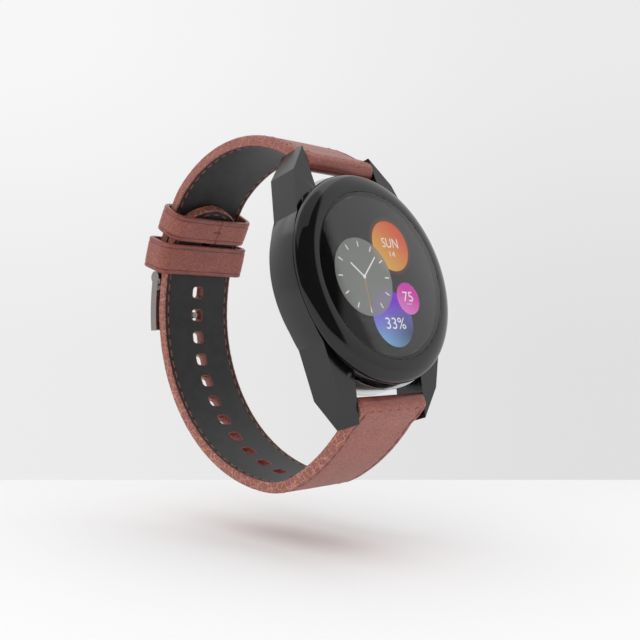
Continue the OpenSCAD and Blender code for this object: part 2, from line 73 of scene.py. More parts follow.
FREE_A, FREE_L, FREE_W = 45.2, 6.1, STRAP_W + 1.4
FIXED_A, FIXED_L, FIXED_W = 34.2, 7.3, STRAP_W + 3.8
KEEPER_T = 1.1
SEAM_X = 1.0
TACK_L = 2.8
KEEPER_H = 2 * STRAP_T + LAYER_GAP + 1.1
PIVOT_A = 26.6
PIVOT_UP = 0.3
BAR_R = 0.7
ROLL_2 = 1.5
TONGUE_SLOT = 2.6
BETWEEN_ARMS = 8.25


# ---- directions and places along the strap loop ----


def side_of(heading):
    """Left-hand normal, in Y and Z, of a line that runs in that direction."""
    return Vector((-sin(radians(heading)), cos(radians(heading))))


def low_arcs():
    """Arcs of the long strap from its spring bar: centre, inner radius, first and last angle."""
    heading = LEAVE_ANGLE
    place = Vector((BAR_Y, -BAR_Z)) + STRAP_T / 2 * side_of(heading)
    arcs = []
    for r, sweep in zip(BENDS, SWEEPS):
        centre = place + r * side_of(heading)
        arcs.append((centre, r, heading - 90, heading + sweep - 90))
        heading += sweep
        place = centre - r * side_of(heading)
    return arcs


def top_arcs(over_c):
    """Arcs of the short strap from its spring bar to the buckle bar."""
    over_h = LEAVE_ANGLE + sum(SWEEPS)
    over_r = BENDS[-1] + STRAP_T * 1.5 + LAYER_GAP
    turn_c = over_c - (over_r - TURN_R) * side_of(over_h)
    close_h = over_h + TURN_A
    start = turn_c - TURN_R * side_of(close_h)
    chord = Vector((BAR_Y, BAR_Z)) - start
    across = chord.dot(side_of(close_h))
    along = chord.dot(Vector((cos(radians(close_h)), sin(radians(close_h)))))
    close_r = chord.length_squared / (2 * across)
    close_c = start + close_r * side_of(close_h)
    close_end = close_h + 2 * degrees(atan2(across, along)) - 90
    half = STRAP_T / 2
    return [
        (close_c, close_r - half, close_end, close_h - 90),
        (turn_c, TURN_R - half, close_h - 90, over_h - 90),
        (over_c, over_r - half, over_h - 90, PIVOT_A),
    ]


class Line:
    """Inner face of a strap as a chain of arcs. s is the length along it and t the depth outward."""

    def __init__(self, arcs):
        self.arcs = []
        self.length = 0.0
        for centre, r, a0, a1 in arcs:
            run = r * radians(abs(a1 - a0))
            self.arcs.append((self.length, centre, r, radians(a0), 1 if a1 > a0 else -1))
            self.length += run

    def place(self, s):
        """Foot, outward normal and forward direction at length s, in Y and Z."""
        inside = min(max(s, 0.0), self.length)
        s0, centre, r, a0, turn = [arc for arc in self.arcs if arc[0] <= inside][-1]
        a = a0 + turn * (inside - s0) / r
        normal = Vector((cos(a), sin(a)))
        forward = turn * Vector((-sin(a), cos(a)))
        return centre + r * normal + (s - inside) * forward, normal, forward

    def point(self, x, s, t):
        foot, normal, _ = self.place(s)
        y, z = foot + t * normal
        return Vector((x, y, z)) * MM


LOW = Line(low_arcs())
OVER_C = LOW.arcs[-1][1]
TOP = Line(top_arcs(OVER_C))
PIVOT_R = BENDS[-1] + STRAP_T * 1.5 + LAYER_GAP + PIVOT_UP


def on_arc(radius, angle):
    """Turns a local point (across, outward, along) into metres, at a place on the overlap."""
    a = radians(angle)
    normal = Vector((cos(a), sin(a)))
    forward = Vector((-sin(a), cos(a)))

    def put(x, n, v):
        y, z = OVER_C + (radius + n) * normal + v * forward
        return Vector((x, y, z)) * MM

    return put


# ---- mesh helpers ----


def smooth_step(low, high, value):
    share = min(max((value - low) / (high - low), 0.0), 1.0)
    return share * share * (3 - 2 * share)


def spread(first, last, n):
    """n evenly spaced values from first to last."""
    return [first + (last - first) * i / (n - 1) for i in range(n)]


def settle(obj, angle=38):
    """Smooth shading with the sharp edges kept."""
    obj.data.polygons.foreach_set("use_smooth", [True] * len(obj.data.polygons))
    obj.data.set_sharp_from_angle(angle=radians(angle))
    return obj


def new_object(name, verts, faces, materials, indices=None, angle=38):
    mesh = bpy.data.meshes.new(name)
    mesh.from_pydata(verts, [], faces)
    for material in materials:
        mesh.materials.append(material)
    if indices:
        mesh.polygons.foreach_set("material_index", indices)
    made = bmesh.new()
    made.from_mesh(mesh)
    bmesh.ops.recalc_face_normals(made, faces=made.faces)
    made.to_mesh(mesh)
    made.free()
    obj = bpy.data.objects.new(name, mesh)
    bpy.context.scene.collection.objects.link(obj)
    return settle(obj, angle)


def grid(rings, closed_rows=False):
    """Faces between closed rings of vertices, capped at both ends unless the rows close on themselves."""
    n, m = len(rings), len(rings[0])
    verts = [v for ring in rings for v in ring]
    faces = []
    for i in range(n if closed_rows else n - 1):
        a, b = i * m, (i + 1) % n * m
        faces += [(a + j, a + (j + 1) % m, b + (j + 1) % m, b + j) for j in range(m)]
    if not closed_rows:
        faces.append(tuple(range(m)))
        faces.append(tuple(range((n - 1) * m, n * m)))
    return verts, faces


def join(name, parts, materials, angle=38):
    """One object out of several vertex and face lists."""
    verts, faces = [], []
    for part_verts, part_faces in parts:
        base = len(verts)
        verts += part_verts
        faces += [tuple(base + i for i in face) for face in part_faces]
    return new_object(name, verts, faces, materials, angle=angle)


def cut(obj, parts, material_index):
    """Cuts closed parts out of an object."""
    cutter = join("cutter", parts, list(obj.data.materials))
    cutter.data.polygons.foreach_set(
        "material_index", [material_index] * len(cutter.data.polygons)
    )
    bite = obj.modifiers.new("bite", "BOOLEAN")
    bite.object = cutter
    bite.solver = "EXACT"
    bite.use_self = True
    ready = obj.evaluated_get(bpy.context.evaluated_depsgraph_get())
    mesh = bpy.data.meshes.new_from_object(ready)
    obj.modifiers.clear()
    obj.data = mesh
    bpy.data.objects.remove(cutter)
    return settle(obj)


def rounded(w, h, r, n=6):
    """Closed outline of a rounded rectangle about the origin."""
    points = []
    for cx, cy, a0 in ((1, 1, 0), (-1, 1, 90), (-1, -1, 180), (1, -1, 270)):
        for a in spread(a0, a0 + 90, n):
            points.append(
                (
                    cx * (w / 2 - r) + r * cos(radians(a)),
                    cy * (h / 2 - r) + r * sin(radians(a)),
                )
            )
    return points


def turned(name, outline, materials, steps=256):
    """Solid of revolution about Y from a closed outline of radius and level."""
    rings = []
    for i in range(steps):
        a = 2 * pi * i / steps
        rings.append([Vector((r * cos(a), y, r * sin(a))) * MM for r, y in outline])
    verts, faces = grid(rings, closed_rows=True)
    return new_object(name, verts, faces, materials, angle=30)


# ---- material helper ----


def srgb(*values):
    """Linear colour from 0 to 255 display values."""
    return tuple(
        v / 255 / 12.92 if v / 255 < 0.04045 else ((v / 255 + 0.055) / 1.055) ** 2.4
        for v in values
    )


class Look:
    """A Principled material whose textures are laid out in the part's frame, in millimetres."""

    def __init__(self, name, color, rough, metal=0.0, **sockets):
        self.mat = bpy.data.materials.new(name)
        self.mat.use_nodes = True
        self.tree = self.mat.node_tree
        self.bsdf = self.tree.nodes["Principled BSDF"]
        self.set("Base Color", (*color, 1))
        self.set("Roughness", rough)
        self.set("Metallic", metal)
        for socket, value in sockets.items():
            self.set(socket.replace("_", " "), value)
        place = self.node("ShaderNodeTexCoord")
        scale = self.node("ShaderNodeVectorMath", operation="SCALE")
        scale.inputs["Scale"].default_value = 1 / MM
        self.link(place.outputs["Object"], scale.inputs[0])
        self.space = scale.outputs[0]

    def set(self, socket, value):
        self.bsdf.inputs[socket].default_value = value

    def node(self, kind, **settings):
        made = self.tree.nodes.new(kind)
        for key, value in settings.items():
            setattr(made, key, value)
        return made

    def link(self, source, target):
        self.tree.links.new(source, target)

    def feed(self, target, value):
        """Puts a number, a colour or another node's output on a socket."""
        if isinstance(value, bpy.types.NodeSocket):
            self.link(value, target)
        elif isinstance(value, tuple):
            target.default_value = (*value, 1)
        else:
            target.default_value = value

    def noise(self, scale, detail=3.0, rough=0.55, space=None, warp=0.0):
        made = self.node("ShaderNodeTexNoise")
        self.link(space or self.space, made.inputs["Vector"])
        made.inputs["Scale"].default_value = scale
        made.inputs["Detail"].default_value = detail
        made.inputs["Roughness"].default_value = rough
        made.inputs["Distortion"].default_value = warp
        return made.outputs["Fac"]

    def cells(self, scale, feature="DISTANCE_TO_EDGE", space=None):
        made = self.node("ShaderNodeTexVoronoi", feature=feature)
        self.link(space or self.space, made.inputs["Vector"])
        made.inputs["Scale"].default_value = scale
        return made.outputs["Distance"]

    def stretched(self, x, y, z):
        """The texture space scaled along each axis."""
        made = self.node("ShaderNodeVectorMath", operation="MULTIPLY")
        self.link(self.space, made.inputs[0])
        made.inputs[1].default_value = (x, y, z)
        return made.outputs[0]

    def shaken(self, scale, amount):
        """The texture space pushed about by a noise, so that lines wander."""
        wander = self.node("ShaderNodeTexNoise")
        self.link(self.space, wander.inputs["Vector"])
        wander.inputs["Scale"].default_value = scale
        push = self.node("ShaderNodeVectorMath", operation="MULTIPLY_ADD")
        self.link(wander.outputs["Color"], push.inputs[0])
        push.inputs[1].default_value = (amount,) * 3
        self.link(self.space, push.inputs[2])
        return push.outputs[0]

    def remap(self, value, low, high, to_low=0.0, to_high=1.0):
        made = self.node("ShaderNodeMapRange", clamp=True)
        self.feed(made.inputs["Value"], value)
        made.inputs["From Min"].default_value = low
        made.inputs["From Max"].default_value = high
        made.inputs["To Min"].default_value = to_low
        made.inputs["To Max"].default_value = to_high
        return made.outputs["Result"]

    def calc(self, operation, a, b=0.0):
        made = self.node("ShaderNodeMath", operation=operation)
        self.feed(made.inputs[0], a)
        self.feed(made.inputs[1], b)
        return made.outputs[0]

    def mix(self, share, a, b):
        made = self.node("ShaderNodeMix", data_type="RGBA")
        self.feed(made.inputs[0], share)
        self.feed(made.inputs[6], a)
        self.feed(made.inputs[7], b)
        return made.outputs[2]

    def paint(self, color):
        self.link(color, self.bsdf.inputs["Base Color"])

    def polish(self, rough):
        self.link(rough, self.bsdf.inputs["Roughness"])

    def relief(self, *layers):
        """Bump from pairs of a height and its depth in millimetres."""
        normal = None
        for height, depth in layers:
            made = self.node("ShaderNodeBump")
            made.inputs["Distance"].default_value = depth * MM
            self.link(height, made.inputs["Height"])
            if normal:
                self.link(normal, made.inputs["Normal"])
            normal = made.outputs["Normal"]
        self.link(normal, self.bsdf.inputs["Normal"])


# ---- materials ----

LEATHER = srgb(158, 92, 82)
LEATHER_DARK = srgb(128, 70, 63)
LEATHER_WARM = srgb(186, 116, 92)
LEATHER_GOLD = srgb(232, 152, 92)
LEATHER_PINK = srgb(214, 158, 144)
LEATHER_RAW = srgb(172, 106, 94)


def leather_grain():
    """Outer face: fine pebbled grain with warm specks and faint creases."""
    look = Look("leather_grain", LEATHER, 0.5, Specular_IOR_Level=0.45, Sheen_Weight=0.12)
    fine = look.noise(3.4, 3.0)
    pebble = look.cells(2.6, "F1")
    broad = look.noise(0.22, 2.0)
    crease = look.cells(0.9, space=look.shaken(1.2, 1.3))
    body = look.mix(look.remap(broad, 0.3, 0.7, 0.55, 1.0), LEATHER_DARK, LEATHER)
    body = look.mix(look.remap(fine, 0.4, 0.52, 0.55, 0.0), body, LEATHER_DARK)
    body = look.mix(look.remap(fine, 0.54, 0.64, 0, 0.7), body, LEATHER_WARM)
    line = look.remap(crease, 0.0, 0.07, 0.55, 0.0)
    look.paint(look.mix(line, body, LEATHER_WARM))
    look.polish(look.remap(pebble, 0.0, 0.6, 0.42, 0.6))
    look.relief((pebble, -0.07), (fine, 0.05), (look.remap(crease, 0, 0.1), -0.03))
    return look.mat


def leather_edge(name, crackle_and_highlight, gold):
    """Cut edge: crackled cells whose raised ridges are lighter and partly golden, partly their own
    crackle colour and partly painted highlight.
    """
    look = Look(name, LEATHER, 0.5, Specular_IOR_Level=0.4)
    coarse = look.cells(0.62, space=look.shaken(0.9, 0.9))
    small = look.cells(1.9, space=look.shaken(1.8, 0.6))
    fine = look.noise(4.2, 3.0)
    patch = look.noise(0.5, 2.0)
    body = look.mix(look.remap(fine, 0.35, 0.65), LEATHER_DARK, LEATHER_RAW)
    # Raised crack ridges and small crack lines are painted lighter pink and gold: partly the edge's own
    # crackle colour, partly painted highlight where light catches them.
    ridge_and_painted_highlight = look.remap(coarse, 0.02, 0.1, 1.0, 0.0)
    minor = look.remap(small, 0.01, 0.08, 0.55, 0.0)
    body = look.mix(look.calc("MULTIPLY", minor, 0.6), body, LEATHER_PINK)
    tone = look.mix(look.remap(patch, gold, gold + 0.14), LEATHER_PINK, LEATHER_GOLD)
    share = look.calc("MULTIPLY", ridge_and_painted_highlight, look.remap(fine, 0.36, 0.54, 0.15 * crackle_and_highlight, crackle_and_highlight))
    look.paint(look.mix(share, body, tone))
    look.relief((ridge_and_painted_highlight, 0.07), (minor, 0.035), (fine, 0.03))
    return look.mat


def leather_smooth():
    """Skived leather at folds and lips: darker, glossier, almost no grain."""
    look = Look("leather_smooth", LEATHER, 0.36, Specular_IOR_Level=0.5, Coat_Weight=0.15)
    fine = look.noise(2.2, 3.0)
    broad = look.noise(0.3, 2.0)
    body = look.mix(look.remap(broad, 0.3, 0.7), srgb(126, 62, 55), srgb(150, 82, 73))
    look.paint(look.mix(look.remap(fine, 0.55, 0.75, 0, 0.4), body, LEATHER_WARM))
    look.polish(look.remap(fine, 0.3, 0.7, 0.32, 0.42))
    look.relief((fine, 0.012))
    return look.mat


def lining_look():
    """Smooth dark lining leather with a faint nap."""
    look = Look("strap_lining_dark", srgb(40, 41, 41), 0.55, Specular_IOR_Level=0.4)
    fine = look.noise(6.0, 2.0)
    broad = look.noise(0.35, 2.0)
    tone = look.mix(look.remap(broad, 0.3, 0.7), srgb(35, 36, 36), srgb(45, 46, 46))
    look.paint(look.mix(look.remap(fine, 0.5, 0.8, 0, 0.25), tone, srgb(62, 62, 62)))
    look.polish(look.remap(fine, 0.3, 0.7, 0.48, 0.6))
    look.relief((fine, 0.015))
    return look.mat


def thread_look(name, dark, light):
    """Waxed thread: short fibres over a two-ply twist."""
    look = Look(name, light, 0.55, Sheen_Weight=0.2)
    fibre = look.noise(9.0, 2.0)
    look.paint(look.mix(look.remap(fibre, 0.35, 0.65), dark, light))
    look.relief((fibre, 0.02))
    return look.mat


def coated_metal(name, tone, rough):
    """Black coated case metal: fine satin with faint handling marks."""
    look = Look(name, tone, rough, Specular_IOR_Level=0.6)
    fine = look.noise(14.0, 2.0)
    wipe = look.noise(0.16, 3.0, warp=0.6)
    light = tuple(v * 1.5 for v in tone)
    look.paint(look.mix(look.remap(wipe, 0.35, 0.7, 0, 0.6), tone, light))
    look.polish(look.remap(wipe, 0.3, 0.7, rough - 0.04, rough + 0.05))
    look.relief((fine, 0.002))
    return look.mat


def satin_metal(name, tone, rough, along=(0.4, 9.0, 9.0)):
    """Bare metal with a fine brushed direction."""
    look = Look(name, tone, rough, metal=1.0)
    brushed = look.noise(1.4, 2.0, space=look.stretched(*along))
    stain = look.noise(0.3, 2.0)
    dark = tuple(v * 0.94 for v in tone)
    look.paint(look.mix(look.remap(stain, 0.3, 0.7), dark, tone))
    look.polish(look.remap(brushed, 0.3, 0.7, rough - 0.05, rough + 0.08))
    look.relief((brushed, 0.002))
    return look.mat


def gloss_black():
    """Polished bezel with a trace of wipe marks in its gloss."""
    look = Look("bezel_gloss", srgb(9, 9, 10), 0.05, Specular_IOR_Level=0.5)
    wipe = look.noise(0.2, 4.0, warp=0.8)
    look.paint(look.mix(look.remap(wipe, 0.4, 0.7), srgb(8, 8, 9), srgb(12, 12, 13)))
    look.polish(look.remap(wipe, 0.35, 0.7, 0.03, 0.09))
    return look.mat


def clear_glass(name, tone, rough):
    look = Look(name, tone, rough, Transmission_Weight=1.0, IOR=1.4)
    wipe = look.noise(0.12, 3.0, warp=1.0)
    look.polish(look.remap(wipe, 0.3, 0.7, rough, rough + 0.015))
    return look.mat


def moulded(name, tone, rough, grain=5.0, depth=0.01, shine=0.5):
    """Moulded plastic, rubber or lacquer with a fine tool texture."""
    look = Look(name, tone, rough, Specular_IOR_Level=shine)
    fine = look.noise(grain, 2.0)
    light = tuple(min(1.0, v * 1.3 + 0.002) for v in tone)
    look.paint(look.mix(look.remap(fine, 0.35, 0.7), tone, light))
    look.polish(look.remap(fine, 0.3, 0.7, rough, rough + 0.08))
    if depth:
        look.relief((fine, depth))
    return look.mat


def circuit_board():
    """Solder mask with copper traces showing through."""
    look = Look("circuit_board", srgb(22, 74, 48), 0.38)
    trace = look.cells(0.7, "F1", space=look.stretched(1, 1, 1))
    lines = look.remap(look.calc("FRACT", look.calc("MULTIPLY", trace, 6.0)), 0.42, 0.5)
    look.paint(look.mix(lines, srgb(20, 68, 44), srgb(40, 104, 66)))
    look.relief((lines, 0.01))
    return look.mat


def wound_copper():
    """Flat coil: one groove for each turn of enamelled wire, painted lighter on each crest as painted
    highlight and darker in each groove as painted shade.
    """
    look = Look("coil_copper", srgb(184, 110, 62), 0.3, metal=1.0)
    level = look.node("ShaderNodeVectorMath", operation="LENGTH")
    flat = look.stretched(1, 0, 1)
    look.link(flat, level.inputs[0])
    wave = look.calc("SINE", look.calc("MULTIPLY", level.outputs["Value"], 16.0))
    # Colour follows the groove wave: painted highlight on each turn's crest, painted shade in each
    # groove.
    look.paint(look.mix(look.remap(wave, -1, 1), srgb(140, 76, 40), srgb(200, 124, 72)))
    look.relief((wave, 0.03))
    return look.mat


def glow(name, near, far, low, high, axis):
    """Self-lit paint that fades between two colours along an axis of the screen."""
    look = Look(name, (0, 0, 0), 0.5, Specular_IOR_Level=0.0, Emission_Strength=1.0)
    along = look.node("ShaderNodeVectorMath", operation="DOT_PRODUCT")
    look.link(look.space, along.inputs[0])
    along.inputs[1].default_value = (axis[0], 0, axis[1])
    share = look.remap(along.outputs["Value"], low, high)
    look.link(look.mix(share, near, far), look.bsdf.inputs["Emission Color"])
    return look


# ---- strap ----


class Strap:
    """One half of the strap: its line, how wide and thick it is along it, and its stitch plan."""

    lining_start = 4.4
    margin = 0.38

    def __init__(self, line, slack, lining_end):
        self.line = line
        self.slack = slack
        self.lining_end = lining_end
        self.crease = -slack - ROLL_R + CREASE_IN
        self.cross = self.crease + CROSS_IN

    def swell(self, s):
        """Half the thickness at length s, which grows to the roll round the spring bar."""
        if s < -self.slack:
            return sqrt(max(ROLL_R**2 - (s + self.slack) ** 2, 0.0)) + 1e-3
        thin = STRAP_T / 2
        return thin + (ROLL_R - thin) * (1 - smooth_step(0.2, 4.2, s))

    def levels(self, s):
        """Depth of the inner and outer faces at length s."""
        mid, half = STRAP_T / 2, self.swell(s)
        step = 0.13 * smooth_step(self.crease, self.crease + 0.15, s)
        step *= 1 - smooth_step(self.crease + 1.5, self.crease + 3, s)
        groove = 0.13 * exp(-(((s - self.crease) / 0.1) ** 2))
        relief = min(1.0, half / 0.9) * (step - groove)
        return mid - half, mid + half + relief

    def half_width(self, s, inset=0.0):
        raise NotImplementedError

    def rows(self):
        cap = [-self.slack - ROLL_R * cos(a) for a in spread(0.02, pi / 2, 14)]
        front = spread(0.1 - self.slack, self.lining_start, 42)
        return cap + front

    def section(self, s, half):
        """Right half of the leather's outline at length s, from the middle of the outer face to
        the middle of the inner one, with what each stretch is: face, edge or inside."""
        inner, outer = self.levels(s)
        thick = outer - inner
        corner = min(0.5, half * 0.45, thick * 0.4)
        lip = min(0.22, half * 0.2, thick * 0.3)
        line = half - STITCH_IN
        lined = self.lining_start <= s <= self.lining_end
        room = self.half_width(s, self.margin) if lined else max(half - 0.4, 0.01)
        room = max(min(room, half - lip - 0.01), 0.005)
        deep = lined and self.half_width(s, self.margin) > 0.3
        depth = LINING_T if deep else min(0.03, thick * 0.1)
        cross = self.cross
        groove = min(0.17, thick * 0.2) * smooth_step(cross - 0.5, cross, s) if line > 1 else 0.0
        points = []
        inward = max(line - 0.5, half * 0.2)
        for x in spread(0, inward, 9):
            points.append((x, outer + 0.05 * (1 - (x / half) ** 2), "face"))
        for x in spread(inward, half - corner, 10)[1:]:
            dip = groove * exp(-(((x - line) / 0.2) ** 2))
            points.append((x, outer - dip, "face"))
        for a in spread(0, 90, 6)[1:]:
            points.append(
                (
                    half - corner + corner * sin(radians(a)),
                    outer - corner + corner * cos(radians(a)),
                    "edge",
                )
            )
        for t in spread(outer - corner, inner + lip, 6)[1:]:
            points.append((half, t, "edge"))
        for a in spread(0, 90, 4)[1:]:
            points.append(
                (
                    half - lip + lip * cos(radians(a)),
                    inner + lip - lip * sin(radians(a)),
                    "edge",
                )
            )
        points.append((room, inner, "inside"))
        for x in spread(room, 0, 5):
            points.append((x, inner + depth, "inside"))
        return points

    def ring(self, s):
        """Closed ring of points round the leather at length s, roughened at the cut edge."""
        half = self.half_width(s)
        right = self.section(s, half)
        left = [(-x, t, kind) for x, t, kind in reversed(right[1:-1])]
        inner, outer = self.levels(s)
        rough = smooth_step(0.6, 1.8, outer - inner)
        ring, kinds = [], []
        for x, t, kind in right + left:
            if kind == "edge":
                seed = Vector((x * 0.7, s * 1.1, t * 1.6))
                x += rough * (0.05 * noise.noise(seed) + 0.03 * noise.noise(seed * 3.1))
                t += rough * 0.02 * noise.noise(seed * 2.3)
            elif kind == "face":
                t += rough * 0.018 * noise.noise(Vector((x * 0.35, s * 0.35, 4.0)))
            ring.append(self.line.point(x, s, t))
            kinds.append(kind)
        return ring, kinds

    def leather(self, name, materials, cuts):
        rings, row_kinds = [], []
        rows = self.rows()
        for s in rows:
            ring, kinds = self.ring(s)
            rings.append(ring)
            row_kinds.append(kinds)
        verts, faces = grid(rings)
        m = len(rings[0])
        indices = []
        for i in range(len(rows) - 1):
            rolled = rows[i + 1] <= self.crease + 0.01
            for j in range(m):
                kind = row_kinds[i][j]
                after = row_kinds[i][(j + 1) % m]
                edge = "edge" in (kind, after)
                smooth = rolled or (kind == "inside" and not edge)
                indices.append(2 if smooth else 1 if edge else 0)
        indices += [2, 1]
        obj = new_object(name, verts, faces, materials, indices)
        for parts in cuts:
            obj = cut(obj, parts, 2)
        return obj

    def lining(self, name, material, cuts):
        rows = [s for s in self.rows() if s >= self.lining_start]
        rows = [self.lining_start + 0.02] + [s for s in rows if s > self.lining_start + 0.1]
        rings = []
        for s in rows:
            half = self.half_width(s, self.margin + 0.03)
            if half < 0.05:
                break
            inner = self.levels(s)[0]
            line = self.half_width(s) - STITCH_IN
            bevel = min(0.16, half * 0.3)
            right = []
            for x in spread(0, max(line - 0.5, half * 0.2), 7):
                right.append((x, inner - 0.02))
            start = max(line - 0.5, half * 0.2)
            for x in spread(start, half - bevel, 16)[1:]:
                dip = 0.12 * exp(-(((x - line) / 0.13) ** 2))
                dip += 0.07 * exp(-(((x - line - 0.62) / 0.07) ** 2))
                right.append((x, inner - 0.02 + dip))
            for a in spread(0, 90, 4)[1:]:
                right.append(
                    (
                        half - bevel + bevel * sin(radians(a)),
                        inner - 0.02 + bevel * (1 - cos(radians(a))),
                    )
                )
            right.append((half, inner + LINING_T - 0.02))
            right.append((0, inner + LINING_T - 0.02))
            left = [(-x, t) for x, t in reversed(right[1:-1])]
            rings.append([self.line.point(x, s, t) for x, t in right + left])
        verts, faces = grid(rings)
        obj = new_object(name, verts, faces, [material])
        return cut(obj, cuts, 0) if cuts else obj


class LongStrap(Strap):
    tip_r = STRAP_W / 2

    def half_width(self, s, inset=0.0):
        """Half width, inset from the edge, with the round tail."""
        r = self.tip_r - inset
        into = s - (self.line.length - self.tip_r)
        if into <= 0:
            return r
        return sqrt(max(r * r - into * into, 0.0))

    def rows(self):
        straight = self.line.length - self.tip_r
        body = spread(self.lining_start, straight, ceil((straight - self.lining_start) / 0.42))
        tip = [straight + self.tip_r * sin(a) for a in spread(0, pi / 2 - 0.012, 40)]
        return super().rows() + body[1:] + tip[1:]


class ShortStrap(Strap):
    def half_width(self, s, inset=0.0):
        """Half width, inset from the edge, narrowed between the arms of the buckle."""
        narrow = STRAP_W / 2 - BETWEEN_ARMS
        start = self.line.length - 2.6
        return STRAP_W / 2 - inset - narrow * smooth_step(start, start + 0.9, s)

    def levels(self, s):
        inner, outer = super().levels(s)
        near = smooth_step(self.line.length - 3.6, self.line.length - 0.6, s)
        past = max(s - self.line.length, 0.0)
        half = sqrt(max(ROLL_2**2 - past * past, 0.0)) + 1e-3
        mid = STRAP_T / 2 + PIVOT_UP
        return inner + (mid - half - inner) * near, outer + (mid + half - outer) * near

    def rows(self):
        length = self.line.length
        body = spread(self.lining_start, length, ceil((length - self.lining_start) / 0.42))
        tail = [length + ROLL_2 * sin(a) for a in spread(0, pi / 2 - 0.02, 12)]
        return super().rows() + body[1:] + tail[1:]


def prism(line, outline, s, low, high):
    """Closed prism through a strap at length s, from one depth to another."""
    rings = [[line.point(x, s + v, t) for x, v in outline] for t in (low, high)]
    return grid(rings)


def rod(radius, x0, x1, y, z, steps=48):
    """Closed cylinder along X."""
    rings = []
    for x in (x0, x1):
        rings.append(
            [
                Vector((x, y + radius * cos(2 * pi * i / steps), z + radius * sin(2 * pi * i / steps)))
                * MM
                for i in range(steps)
            ]
        )
    return grid(rings)


def hole_places():
    return [PEG_S - k * HOLE_PITCH for k in HOLE_STEPS]


def hole_cuts(grow):
    shape = rounded(HOLE_W + grow, HOLE_H + grow, 0.8 + grow / 2)
    return [prism(LOW, shape, s, -1.5, STRAP_T + 1.5) for s in hole_places()]


def lever_cut(sign):
    """Notch on the wrist side that lets the quick-release lever slide."""
    shape = rounded(4.2, 1.6, 0.7)
    rings = [
        [Vector((LEVER_X + x, y, sign * BAR_Z + v)) * MM for x, v in shape]
        for y in (BAR_Y, BAR_Y + 4)
    ]
    return grid(rings)


def hole_rims(material):
    """Turned leather rim in each hole, a little proud of the lining."""
    parts = []
    wall, lip = 0.26, 0.07
    for s in hole_places():
        low, high = LOW_STRAP.levels(s)
        profile = [
            (0.02, low + 0.06),
            (0.08, low - lip),
            (0.17, low - lip - 0.03),
            (wall, low - 0.02),
            (wall, high - 0.04),
            (0.17, high + 0.04),
            (0.08, high + 0.03),
            (0.02, high - 0.08),
        ]
        loops = [rounded(HOLE_W + 2 * out, HOLE_H + 2 * out, 0.72 + out, 7) for out, _ in profile]
        columns = [
            [LOW.point(loops[i][j][0], s + loops[i][j][1], profile[i][1]) for i in range(len(profile))]
            for j in range(len(loops[0]))
        ]
        parts.append(grid(columns, closed_rows=True))
    return join("hole_rims", parts, [material], angle=60)


# ---- thread ----


def stitch(curve, radius, plies=0.14, steps=13, sides=12):
    """One stitch along curve(0..1), which gives a place in the frame; it dives at both ends."""
    rings = []
    for i in range(steps):
        u = i / (steps - 1)
        rise = 1 - (2 * u - 1) ** 6
        here, ahead = curve(min(u + 0.02, 1.0), rise), curve(max(u - 0.02, 0.0), rise)
        forward = (here[0] - ahead[0]).normalized()
        up = here[1]
        across = forward.cross(up).normalized()
        up = across.cross(forward).normalized()
        centre = curve(u, rise)[0]
        size = radius * (0.35 + 0.65 * sqrt(max(1 - abs(2 * u - 1) ** 5, 0.0)))
        ring = []
        for j in range(sides):
            a = 2 * pi * j / sides
            r = size * (1 + plies * cos(2 * a - 9.0 * u))
            ring.append(centre + MM * r * (cos(a) * across + sin(a) * up))
        rings.append(ring)
    return grid(rings)


def stitch_on(line, ends, level, sink, outward):
    """Stitch between two plan points (x, s) of a strap, at a depth given for each length s."""
    (x0, s0), (x1, s1) = ends

    def curve(u, rise):
        x, s = x0 + (x1 - x0) * u, s0 + (s1 - s0) * u
        t = level(s) - outward * sink * (1 - rise)
        _, normal, _ = line.place(s)
        up = Vector((0, outward * normal[0], outward * normal[1]))
        return line.point(x, s, t), up

    return stitch(curve, 0.23)


STITCH_PITCH = 2.62
STITCH_L = 2.05
CREASE_IN = 0.5
CROSS_IN = 1.25


def dashes(plan, total):
    """Ends of evenly spaced stitches along a plan curve of that length."""
    n = round(total / STITCH_PITCH)
    pitch = total / n
    gap = (pitch - STITCH_L * pitch / STITCH_PITCH) / 2
    return [(plan(i * pitch + gap), plan((i + 1) * pitch - gap)) for i in range(n)]


def low_plan():
    """Stitch line of the long strap: down one edge, round the tail and back up the other."""
    start, x = LOW_STRAP.cross + 0.15, STRAP_W / 2 - STITCH_IN
    straight = LOW.length - STRAP_W / 2
    run = straight - start
    bow = pi * x

    def plan(u):
        if u < run:
            return -x, start + u
        if u < run + bow:
            a = (u - run) / x
            return -x * cos(a), straight + x * sin(a)
        return x, straight - (u - run - bow)

    return dashes(plan, 2 * run + bow)


def top_plan():
    """Stitch lines of the short strap, one for each edge."""
    start, stop, x = TOP_STRAP.cross + 0.15, TOP.length - 4.4, STRAP_W / 2 - STITCH_IN
    made = []
    for sign in (-1, 1):
        made += dashes(lambda u, sign=sign: (sign * x, start + u), stop - start)
    return made


def cross_plan(s):
    """Row of stitches across a strap."""
    x = STRAP_W / 2 - STITCH_IN - 0.35
    return dashes(lambda u: (-x + u, s), 2 * x)


def outer_threads(name, strap, ends, material):
    def level(s):
        return strap.levels(s)[1] - 0.16

    parts = [stitch_on(strap.line, pair, level, 0.35, 1) for pair in ends]
    return join(name, parts, [material], angle=70)


def inner_threads(name, strap, ends, material):
    def level(s):
        return strap.levels(s)[0] + 0.13

    shown = [p for p in ends if min(p[0][1], p[1][1]) > strap.lining_start + 0.4]
    parts = [stitch_on(strap.line, pair, level, 0.3, -1) for pair in shown]
    return join(name, parts, [material], angle=70)


# ---- keepers ----


